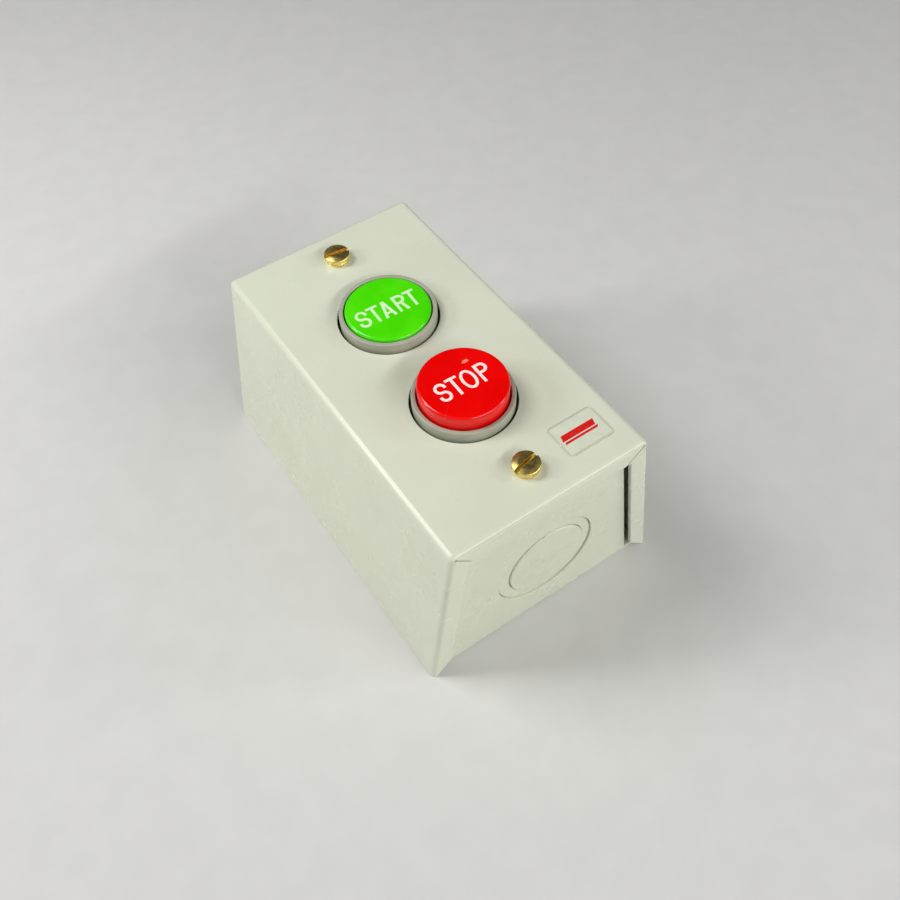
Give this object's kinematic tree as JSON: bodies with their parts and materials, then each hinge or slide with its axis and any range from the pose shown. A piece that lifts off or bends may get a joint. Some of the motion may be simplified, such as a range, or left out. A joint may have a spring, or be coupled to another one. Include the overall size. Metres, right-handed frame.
{
  "type": "push button control station",
  "caption": "Surface-mount control station: flush green start and raised red stop buttons, flared steel cover, base with conduit knockouts, sprung plungers and contacts inside.",
  "frame": {"origin": "centre of the back plane that lies on the wall", "axes": "+X to the right when the legends are read, +Y up the station towards the START end, +Z out of the front face"},
  "size_m": [0.0694, 0.1036, 0.0575],
  "materials": {
    "enamel": "semi-gloss enamel, pale grey",
    "clear_film": null,
    "zinc_plate": "zinc plated steel",
    "green_plate": "green dyed steel",
    "phenolic": "black moulded phenolic",
    "brass": "polished brass",
    "nylon": "natural nylon",
    "green_plastic": "glossy moulded green",
    "red_plastic": "glossy moulded red",
    "white_fill": "white filled lettering",
    "grey_plastic": "satin moulded grey",
    "spring_steel": "bright spring wire",
    "plunger_plastic": "off-white moulded nylon",
    "contact_brass": "stamped contact brass with silver tips"
  },
  "bodies": {
    "base": {"base": "enamel", "knockout_ring_bottom": "enamel", "knockout_disc_bottom": "enamel", "knockout_ring_top": "enamel", "knockout_disc_top": "enamel", "ground_screw": "green_plate", "yoke": "zinc_plate", "yoke_screws": "zinc_plate", "block_guide": "phenolic", "block_body": "phenolic", "block_screws": "zinc_plate", "terminal_clamps": "zinc_plate", "terminal_screws": "zinc_plate", "start_guard_ring": "grey_plastic", "stop_guard_ring": "grey_plastic", "start_terminal_right": "contact_brass", "start_terminal_left": "contact_brass", "stop_terminal_right": "contact_brass", "stop_terminal_left": "contact_brass"},
    "start_button": {"start_cap": "green_plastic", "start_legend": "white_fill", "start_plunger": "plunger_plastic", "start_bridge": "contact_brass", "start_contact_spring": "spring_steel", "start_return_spring": "spring_steel"},
    "stop_button": {"stop_cap": "red_plastic", "stop_legend": "white_fill", "stop_plunger": "plunger_plastic", "stop_bridge": "contact_brass", "stop_contact_spring": "spring_steel", "stop_return_spring": "spring_steel"},
    "cover": {"cover": "enamel", "label": "clear_film"},
    "cover_screw_top": {"cover_screw_top": "brass", "screw_retainer_top": "nylon"},
    "cover_screw_bottom": {"cover_screw_bottom": "brass", "screw_retainer_bottom": "nylon"}
  },
  "joints": [
    {"name": "start_press", "type": "slide", "parent": "base", "child": "start_button", "axis": [0, 0, -1], "range_m": [0, 0.0035], "stiffness_N_per_m": 1400, "springref_m": -0.0035, "deforming": ["start_return_spring"]},
    {"name": "stop_press", "type": "slide", "parent": "base", "child": "stop_button", "axis": [0, 0, -1], "range_m": [0, 0.0035], "stiffness_N_per_m": 1400, "springref_m": -0.0035, "deforming": ["stop_return_spring"]},
    {"name": "cover_lift", "type": "slide", "parent": "base", "child": "cover", "axis": [0, 0, 1], "range_m": [0, 0.075]},
    {"name": "cover_screw_top_turn", "type": "hinge", "parent": "cover", "child": "cover_screw_top", "pos_m": [0, 0.04165, 0.0512], "axis": [0, 0, 1], "continuous": true},
    {"name": "cover_screw_bottom_turn", "type": "hinge", "parent": "cover", "child": "cover_screw_bottom", "pos_m": [0, -0.04165, 0.0512], "axis": [0, 0, 1], "continuous": true}
  ]
}
